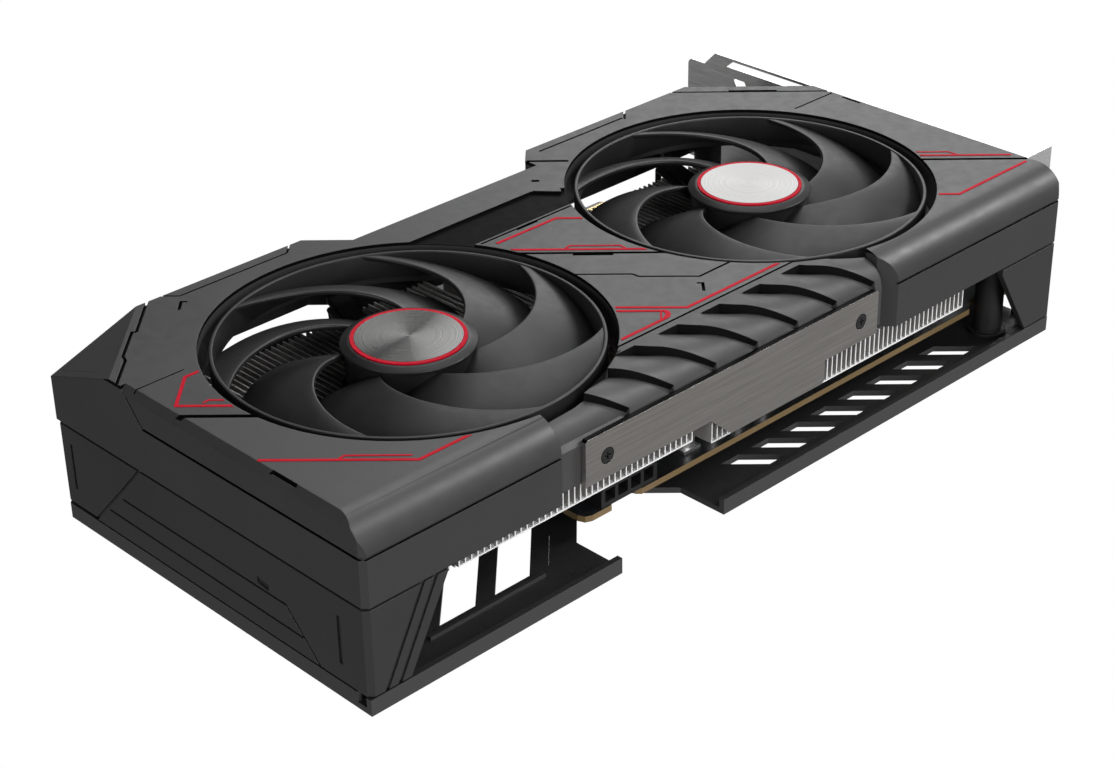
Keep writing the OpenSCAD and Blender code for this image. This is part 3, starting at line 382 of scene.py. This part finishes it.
def brushed_plate():
    """Steel brushed along its length, with its upper edge painted near black as the shade of the seam."""
    mat = metal("brushed_plate", (0.46, 0.44, 0.415), 0.38, (0.02, 1, 1), 3.0, 0.5, 0.6, 0.1, 0.14)
    # painted shade: faces that look upwards are painted near black
    edge = mask_by(mat, "normal", "Z", 0.4, 0.6)
    feed(mat, "Base Color", mix_colour(mat, edge, base_colour(mat), (0.01, 0.01, 0.01)))
    return mat


MATS = {
    "shroud": grooved_plastic(),
    "trim": moulded("trim_plastic", (0.05, 0.05, 0.051), 0.5, specular=0.35),
    "skirt": moulded("skirt_plastic", (0.026, 0.026, 0.027)),
    "black": moulded("black_plastic", (0.012, 0.012, 0.013), 0.5),
    # painted shade: near-black plastic for the louvres' risers and the back walls of their pockets
    "painted_gap_shade": moulded("painted_gap_shade", (0.004, 0.004, 0.004), 0.6, 0.1, 0.0, 0.1),
    "blade": moulded("blade_plastic", (0.011, 0.011, 0.0115), 0.38, 0.12, 0.0, 0.3),
    "backplate": backplate_coat(),
    "red": crimson(),
    "screw": metal("black_screw", (0.07, 0.07, 0.072), 0.4, (1, 1, 1), 1.5),
    "plate": brushed_plate(),
    "bracket": metal("bracket_steel", (0.88, 0.88, 0.88), 0.42, (1, 0.04, 1), 2.0, 0.2, 0.3),
    "steel": metal("plain_steel", (0.56, 0.56, 0.56), 0.3),
    "aluminium": metal("cast_aluminium", (0.6, 0.6, 0.6), 0.4),
    "copper": metal("bare_copper", (0.8, 0.42, 0.28), 0.3, (0.1, 1, 1)),
    "bronze": metal("sintered_bronze", (0.55, 0.38, 0.2), 0.5),
    "gold": metal("gold_plate", (0.9, 0.66, 0.3), 0.25),
    "fin": fin_metal(),
    "board": board_material(),
    "chip": chip_material(),
    "ferrite": painted("ferrite", (0.09, 0.09, 0.092), 0.6, 0.6),
    "package": painted("package_laminate", (0.03, 0.1, 0.06), 0.3, 0.1),
    "silicon": painted("silicon", (0.12, 0.13, 0.15), 0.12, 0.02),
    "pad": painted("thermal_pad", (0.3, 0.35, 0.4), 0.8, 0.6),
    "nylon": moulded("nylon", (0.6, 0.57, 0.48)),
    "cable": moulded("cable_jacket", (0.014, 0.014, 0.014), 0.5, 0.2, 0.0),
    "spun": spun_metal(),
}

SHARP = 32  # angle in degrees from which an edge stays sharp

NODE_LOOKS = {
    "black": ["power_connector", "port_tongues", "support_posts", "fan_1_frame", "fan_2_frame"],
    "skirt": ["tail_skirt", "port_skirt"],
    "shroud": ["shroud"],
    "trim": ["louvre_band"],
    "red": ["accent_lines", "fan_1_trim_ring", "fan_2_trim_ring"],
    "backplate": ["backplate"],
    "screw": ["backplate_screws", "nameplate_screws", "shroud_screws", "fan_1_screws", "fan_2_screws"],
    "plate": ["nameplate"],
    "bracket": ["io_bracket"],
    "steel": ["bracket_screws", "retention_bracket", "spring_screws", "retention_springs", "hdmi_port",
              "displayport_ports", "fan_1_shaft", "fan_2_shaft"],
    "aluminium": ["heatsink_plate", "capacitors"],
    "copper": ["cold_plate", "heatpipes", "fan_1_stator", "fan_2_stator"],
    "bronze": ["fan_1_bearing", "fan_2_bearing"],
    "gold": ["edge_contacts", "power_pins"],
    "fin": ["fin_stack_tail", "fin_stack_main"],
    "board": ["pcb", "fan_1_circuit", "fan_2_circuit"],
    "chip": ["memory_chips", "power_stages", "controller_chips"],
    "ferrite": ["chokes", "fan_1_magnet", "fan_2_magnet"],
    "package": ["gpu_package"],
    "silicon": ["gpu_die"],
    "pad": ["thermal_pads"],
    "nylon": ["fan_sockets"],
    "cable": ["fan_leads"],
    "spun": ["fan_1_cap", "fan_2_cap"],
    "blade": ["fan_1_rotor", "fan_2_rotor"],
}

for look, names in NODE_LOOKS.items():
    for name in names:
        node = nodes[name]
        node.data.materials.clear()
        node.data.materials.append(MATS[look])
        node.data.shade_smooth()
        node.data.set_sharp_from_angle(angle=math.radians(SHARP))


# ---------- mesh helpers ----------


def piece(name, verts, faces, look, body, slot, sharp=SHARP):
    """A visible mesh that rides on a body."""
    mesh = bpy.data.meshes.new(name)
    mesh.from_pydata([tuple(v) for v in verts], [], faces)
    bm = bmesh.new()
    bm.from_mesh(mesh)
    bmesh.ops.remove_doubles(bm, verts=bm.verts, dist=1e-6)
    bmesh.ops.recalc_face_normals(bm, faces=bm.faces)
    bm.to_mesh(mesh)
    bm.free()
    mesh.shade_smooth()
    mesh.set_sharp_from_angle(angle=math.radians(sharp))
    obj = bpy.data.objects.new(name, mesh)
    bpy.context.scene.collection.objects.link(obj)
    mesh.materials.append(MATS[look])
    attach(obj, body)
    return obj


def turned(centre, r, degrees, z):
    """Point at radius r in mm, an angle and height z in mm about the vertical through centre."""
    a = math.radians(degrees)
    return centre + Vector((r * math.cos(a), r * math.sin(a), z)) * MM


def lathe(profile, centre, steps=128):
    """Vertices and faces of a closed profile of (radius, z) turned about the vertical through centre."""
    verts = [turned(centre, r, 360 * k / steps, z) for k in range(steps) for r, z in profile]
    n = len(profile)
    faces = []
    for k in range(steps):
        for j in range(n):
            a, b = k * n + j, k * n + (j + 1) % n
            c, d = ((k + 1) % steps) * n + (j + 1) % n, ((k + 1) % steps) * n + j
            faces.append((a, b, c, d))
    return verts, faces


def arc(cx, cz, r, start, end, steps):
    """Points of a profile's round corner, from one angle in degrees to another."""
    return [(cx + r * math.cos(math.radians(start + (end - start) * i / steps)),
             cz + r * math.sin(math.radians(start + (end - start) * i / steps))) for i in range(steps + 1)]


# ---------- fans ----------

BLADES = 7
ROOT_R = 14.2
ROOT_LEAD = -12.5  # angle of the leading edge at the root, in degrees
SWEEP = 68  # degrees by which the tip's leading edge is ahead of the root's
BLADE_TOP = 44.3  # leading edge; it dips towards the root
BLADE_LOW = 35.9  # trailing edge at the root
BLADE_CEILING = 44.7
NOSE = 0.035  # share of the chord that the round leading edge takes
TAIL = 0.985  # share of the chord where the round trailing edge starts
HUB_R = 15.6
HUB_TOP = 44.9
RING_IN = 43.6
RING_OUT = 44.6
RING_TOP = 44.9
RING_LOW = 38.4
RING_ROUND = 0.3
PHASES = (9, 32)  # angle in degrees of each fan's first blade
SPAN_ROWS = 30
CHORD_STEPS = 14


def blade_surface(s, c):
    """Angle, height and half thickness of a blade at span s and chord c, both 0 to 1."""
    lead = ROOT_LEAD + SWEEP * s
    chord = 39.5 + 60 * s - 55 * s * s  # in degrees, longest past the middle of the span
    high = BLADE_TOP - 2.4 * (1 - s) ** 4
    low = BLADE_LOW + 0.5 * s
    fall = 0.62 * c + 0.38 * c * c
    nose = math.sqrt(max(0.0, 1 - (1 - min(c / NOSE, 1)) ** 2))
    tail = math.sqrt(max(0.0, 1 - max(0.0, (c - TAIL) / (1 - TAIL)) ** 2))
    half = nose * (0.72 - 0.34 * c) * max(tail, 0.05)
    return lead - chord * c, high - (high - low) * fall, half


def chord_steps():
    """Places along the chord: close together at the round ends, even between them."""
    nose = [0, 0.004, 0.012, 0.024, 0.036]
    even = [nose[-1] + (TAIL - nose[-1]) * i / CHORD_STEPS for i in range(1, CHORD_STEPS + 1)]
    return nose + even + [0.994, 1.0]


def blade_mesh(centre, phase):
    """A closed blade, from inside the hub to inside the ring, thicker where it meets them."""
    verts, faces = [], []
    cs = chord_steps()
    loop = 2 * len(cs) - 2
    tip_r = RING_IN + 0.4
    for i in range(SPAN_ROWS + 1):
        s = i / SPAN_ROWS
        r = ROOT_R + (tip_r - ROOT_R) * s
        fillet = 0.27 * math.exp(-s * 16) + 0.21 * math.exp(-(1 - s) * 22)
        upper, lower = [], []
        for c in cs:
            angle, z, half = blade_surface(s, c)
            upper.append(turned(centre, r, angle + phase, min(z + half + fillet, BLADE_CEILING)))
            lower.append(turned(centre, r, angle + phase, z - half))
        verts += upper + lower[-2:0:-1]
    for i in range(SPAN_ROWS):
        for j in range(loop):
            a, b = i * loop + j, i * loop + (j + 1) % loop
            faces.append((a, b, b + loop, a + loop))
    faces.append(tuple(range(loop)))
    faces.append(tuple(range(SPAN_ROWS * loop, (SPAN_ROWS + 1) * loop)))
    return verts, faces


def add_fan(k):
    """Blades, outer ring and hub of fan k, in place of its CAD rotor."""
    centre = at(*middle_of(f"fan_{k}_cap"), 0)
    body = f"fan_{k}"
    verts, faces = [], []
    for b in range(BLADES):
        v, f = blade_mesh(centre, PHASES[k - 1] + 360 * b / BLADES)
        faces += [tuple(i + len(verts) for i in g) for g in f]
        verts += v
    blades = piece(f"fan_{k}_blades", verts, faces, "blade", body, "blade_plastic", 50)
    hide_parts(f"fan_{k}_rotor")
    q = RING_ROUND
    ring = [(RING_IN, RING_LOW)]
    ring += arc(RING_IN + q, RING_TOP - q, q, 180, 90, 4)
    ring += arc(RING_OUT - q, RING_TOP - q, q, 90, 0, 4)
    ring += [(RING_OUT, RING_LOW + q), (RING_OUT - q, RING_LOW)]
    piece(f"fan_{k}_ring", *lathe(ring, centre, 192), "blade", body, "blade_plastic")
    skirt = [(12.7, 43.2), (12.7, 35.6), (14.3, 35.4), (14.8, 35.9), (14.8, 43.1), (15.3, 43.25)]
    rim = arc(HUB_R - 0.3, 44.0, 0.3, -20, 60, 5)
    lip = [(14.0, HUB_TOP - 0.08), (13.9, HUB_TOP - 0.02), (13.32, HUB_TOP), (13.28, HUB_TOP - 0.05)]
    web = [(0.02, HUB_TOP - 0.05), (0.02, 43.2)]
    piece(f"fan_{k}_hub", *lathe(skirt + rim + lip + web, centre), "blade", body, "blade_plastic")


for k in (1, 2):
    add_fan(k)


# ---------- louvre band ----------

BAND_LOW, BAND_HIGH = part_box("louvre_band")
BAND_X = (BAND_LOW.x / MM - X0, BAND_HIGH.x / MM - X0)
BAND_Y = BAND_HIGH.y / MM - Y0
BAND_Z = BAND_LOW.z / MM
BAND_FACE = 1.6  # y of its outer face
BAND_SHEET = 0.8
EDGE_R = 8.05
LEDGE = 16  # angle in degrees at which the louvres start on the rounded edge
SCALES = 7
PITCH = 13.95
FIRST_X = 76.95  # the first riser at row 0
RUN = 14.5  # how far a riser leans towards the tail on its way back
LENGTH = 14.05  # along the section, from row 0 to row 1
STEP = 2.1
STRIP_DROP = 8.6  # from the top down to the foot of the front strip
BACK_STRIP = (13.5, 14.3, BAND_Y)
BACK_DROP = 4  # depth of its far face
SKIN = 0.02  # how far the band's top lies under the shroud's
RIM_DROP = 8  # depth of the band's walls round the fan openings
RIM_LOW = 37.4  # no lower than this
ROOM_R = 47.35  # fan openings, as the band goes round them
FANS = [middle_of(f"fan_{k}_cap") for k in (1, 2)]
BAND_ROWS = 28
SCALE_COLS = 14
LONG_COLS = 40


def section(u):
    """y and z of the band's rounded section at row u, from the ledge (0) to the back strip (1)."""
    s = u * LENGTH
    a = math.radians(LEDGE) + s / EDGE_R
    if a < math.pi / 2:
        return BAND_FACE + EDGE_R * (1 - math.cos(a)), TOP - EDGE_R * (1 - math.sin(a))
    return BAND_FACE + EDGE_R + s - (math.pi / 2 - math.radians(LEDGE)) * EDGE_R, TOP


def in_room(y):
    """x limits of the band at y, between the two fan openings."""
    low, high = BAND_X
    for fx, fy in FANS:
        half = ROOM_R ** 2 - (fy - y) ** 2
        if half > 0:
            h = math.sqrt(half)
            if fx < (low + high) / 2:
                low = max(low, fx + h)
            else:
                high = min(high, fx - h)
    return low, high


def riser_x(i, u):
    """x of riser i at row u; it curves as it leans back."""
    return FIRST_X + i * PITCH - RUN * (1.3 * u - 0.3 * u * u)


def sunk(i, u, x):
    """Share of the full step by which scale i is sunk at x: none at its own riser, all of it at the next one.

    Scale -1, the piece before the first riser, is all low.
    """
    if i < 0:
        return 1.0
    f = (x - riser_x(i, u)) / PITCH
    start = 0.5 * u * u
    return min(1.0, max(0.0, (f - start) / (1 - start)))


def on_band(x, u, share):
    """Point of the band at x and row u, sunk by a share of the step; row -1 is the front strip's foot."""
    if u < 0:
        return at(x, BAND_FACE, TOP - STRIP_DROP)
    y, z = section(u)
    return at(x, y + share * (1 - u) ** 2, z - SKIN - share * (STEP - 0.5 + u))


def long_row(low, high, y, z):
    """Points from x low to x high."""
    return [at(low + (high - low) * c / LONG_COLS, y, z) for c in range(LONG_COLS + 1)]


def face_centre(verts, face):
    return sum((Vector(verts[i]) for i in face), Vector()) / len(face)


def rounded(point):
    """A point in mm to two decimals, to look it up by."""
    return tuple(round(v / MM, 2) for v in point)


def scale_row(i, u, level=False):
    """Points along row u of scale i, sunk or level."""
    v = max(u, 0)
    low, high = in_room(section(v)[0])
    start = low if i < 0 else max(riser_x(i, v), low)
    end = high if i == SCALES - 1 else min(riser_x(i + 1, v), high)
    xs = [start + max(0, end - start) * c / SCALE_COLS for c in range(SCALE_COLS + 1)]
    return [on_band(x, u, 0 if level else sunk(i, v, x)) for x in xs]


def riser_row(i, u):
    """Top and foot of riser i at row u."""
    v = max(u, 0)
    low, high = in_room(section(v)[0])
    x = min(max(riser_x(i, v), low), high)
    return [on_band(x, u, 0), on_band(x, u, sunk(i - 1, v, x))]


def rim_row(side, us):
    """Edge of the band at a fan opening: side 0 is at fan 1, side 1 at fan 2."""
    rim = []
    for u in us:
        x = in_room(section(u)[0])[side]
        own = max([-1] + [i for i in range(SCALES) if riser_x(i, u) < x - 0.01])
        rim.append(on_band(x, u, sunk(own, u, x)))
    return rim + [at(in_room(y)[side], y, TOP - SKIN) for y in (BACK_STRIP[0], BACK_STRIP[-1])]


def add_louvres():
    """The band between the fans: louvres on a rounded edge, a strip behind them and a wall below them."""
    us = [j / BAND_ROWS for j in range(BAND_ROWS + 1)]
    verts, faces = [], []

    def grid(rows):
        """Rows of points, joined into quads; returns the middles of the quads."""
        base = len(verts)
        n = len(rows[0])
        for row in rows:
            verts.extend(row)
        quads = [(a, a + 1, a + n + 1, a + n)
                 for i in range(len(rows) - 1) for a in range(base + i * n, base + i * n + n - 1)]
        faces.extend(quads)
        return [face_centre(verts, f) for f in quads]

    # the faces gathered here, the risers and the pockets' back walls, get painted shade
    dark = []
    for i in range(-1, SCALES):
        grid([scale_row(i, u) for u in [-1] + us])
        dark += grid([scale_row(i, 1), scale_row(i, 1, True)])
        if i >= 0:
            dark += grid([riser_row(i, u) for u in [-1] + us])
    strip = [long_row(*in_room(y), y, TOP - SKIN) for y in (section(1)[0], *BACK_STRIP)]
    grid(strip + [long_row(*in_room(BAND_Y), BAND_Y, TOP - BACK_DROP)])
    for side in (0, 1):
        rim = rim_row(side, us)
        grid([rim, [Vector((v.x, v.y, min(v.z, max(v.z - RIM_DROP * MM, RIM_LOW * MM)))) for v in rim]])
    wall = [(BAND_FACE, TOP - STRIP_DROP), (BAND_FACE, BAND_Z),
            (BAND_FACE + BAND_SHEET, BAND_Z), (BAND_FACE + BAND_SHEET, TOP - STRIP_DROP)]
    grid([long_row(*BAND_X, y, z) for y, z in wall])
    for x in BAND_X:
        grid([[at(x, y, BAND_Z), at(x, y, TOP - STRIP_DROP)] for y in (BAND_FACE, BAND_FACE + BAND_SHEET)])
    band = piece("louvres", verts, faces, "trim", "card", "dark_plastic", 30)
    # painted shade: the second material, near black, goes on the risers and pocket walls
    band.data.materials.append(MATS["painted_gap_shade"])
    painted_shade_places = {rounded(c) for c in dark}
    for poly in band.data.polygons:
        if rounded(poly.center) in painted_shade_places:
            poly.material_index = 1
    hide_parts("louvre_band")


add_louvres()


# ---------- stage ----------


def area(name, size, loc, target, energy):
    """Square white light of a size in m, facing a target."""
    data = bpy.data.lights.new(name, "AREA")
    data.energy = energy
    data.size = size
    obj = bpy.data.objects.new(name, data)
    bpy.context.scene.collection.objects.link(obj)
    obj.location = loc
    obj.rotation_euler = (Vector(target) - Vector(loc)).to_track_quat("-Z", "Y").to_euler()


FLOOR_HALF = 6
DARK_SIDE = (-0.55, 0.7, 0.45)  # direction in which the room is dimmest


def add_floor():
    """A floor of even white, which throws no light on the card."""
    mesh = bpy.data.meshes.new("floor")
    s = FLOOR_HALF
    mesh.from_pydata([(-s, -s, 0), (s, -s, 0), (s, s, 0), (-s, s, 0)], [], [(0, 1, 2, 3)])
    floor = bpy.data.objects.new("floor", mesh)
    bpy.context.scene.collection.objects.link(floor)
    mat = bpy.data.materials.new("pale_floor")
    mat.use_nodes = True
    ns, ls = links(mat)
    glow = ns.new("ShaderNodeEmission")
    glow.inputs["Color"].default_value = (1, 1, 1, 1)
    ls.new(glow.outputs[0], ns["Material Output"].inputs["Surface"])
    mesh.materials.append(mat)
    floor.visible_diffuse = False
    floor.visible_glossy = False


def add_room():
    """Soft white room light that falls off towards its dark side."""
    world = bpy.data.worlds.new("studio")
    world.use_nodes = True
    ns, ls = world.node_tree.nodes, world.node_tree.links
    tex = ns.new("ShaderNodeTexCoord")
    dot = ns.new("ShaderNodeVectorMath")
    dot.operation = "DOT_PRODUCT"
    dot.inputs[1].default_value = Vector(DARK_SIDE).normalized()
    ls.new(tex.outputs["Generated"], dot.inputs[0])
    dim = ns.new("ShaderNodeMapRange")
    for socket, value in (("From Min", 0.1), ("From Max", 0.8), ("To Min", 0.34), ("To Max", 0.03)):
        dim.inputs[socket].default_value = value
    ls.new(dot.outputs["Value"], dim.inputs["Value"])
    ls.new(dim.outputs["Result"], ns["Background"].inputs["Strength"])
    ns["Background"].inputs["Color"].default_value = (1, 1, 1, 1)
    bpy.context.scene.world = world


def add_lights():
    area("key", 1.2, (0.6, 0.5, 1.7), (0, 0, 0), 16)
    area("back", 1.0, (1.45, 0.95, 0.95), (0, 0, 0.02), 7.5)
    area("fill", 0.8, (-0.2, -1.4, 0.5), (0, 0, 0.02), 13)
    area("tail_fill", 0.8, (-1.5, -0.1, 0.35), (-0.1, 0, 0.02), 9)
    area("side", 0.5, (1.2, -0.8, 1.1), (0.05, -0.05, 0.02), 20)
    bpy.context.scene.view_settings.view_transform = "Standard"


add_floor()
add_room()
add_lights()


# ---------- camera ----------

CAMERA_AT = (-229.1, -293.7, 284.6)
AZIMUTH, ELEVATION, ROLL = -43.89, 29.29, -0.946
LENS = 73.69
SENSOR = 36


def add_camera():
    """Camera at the photograph's place and angle."""
    az, el, roll = (math.radians(v) for v in (AZIMUTH, ELEVATION, ROLL))
    back = Vector((math.sin(az) * math.cos(el), -math.cos(az) * math.cos(el), math.sin(el)))
    right = (-back).cross(Vector((0, 0, 1))).normalized()
    up = right.cross(-back)
    side = right * math.cos(roll) + up * math.sin(roll)
    over = up * math.cos(roll) - right * math.sin(roll)
    data = bpy.data.cameras.new("camera")
    data.lens = LENS
    data.sensor_width = SENSOR
    data.clip_start = 0.01
    cam = bpy.data.objects.new("camera", data)
    bpy.context.scene.collection.objects.link(cam)
    turn = Matrix((side, over, back)).transposed()
    cam.matrix_world = Matrix.Translation(at(*CAMERA_AT)) @ turn.to_4x4()
    bpy.context.scene.camera = cam


add_camera()
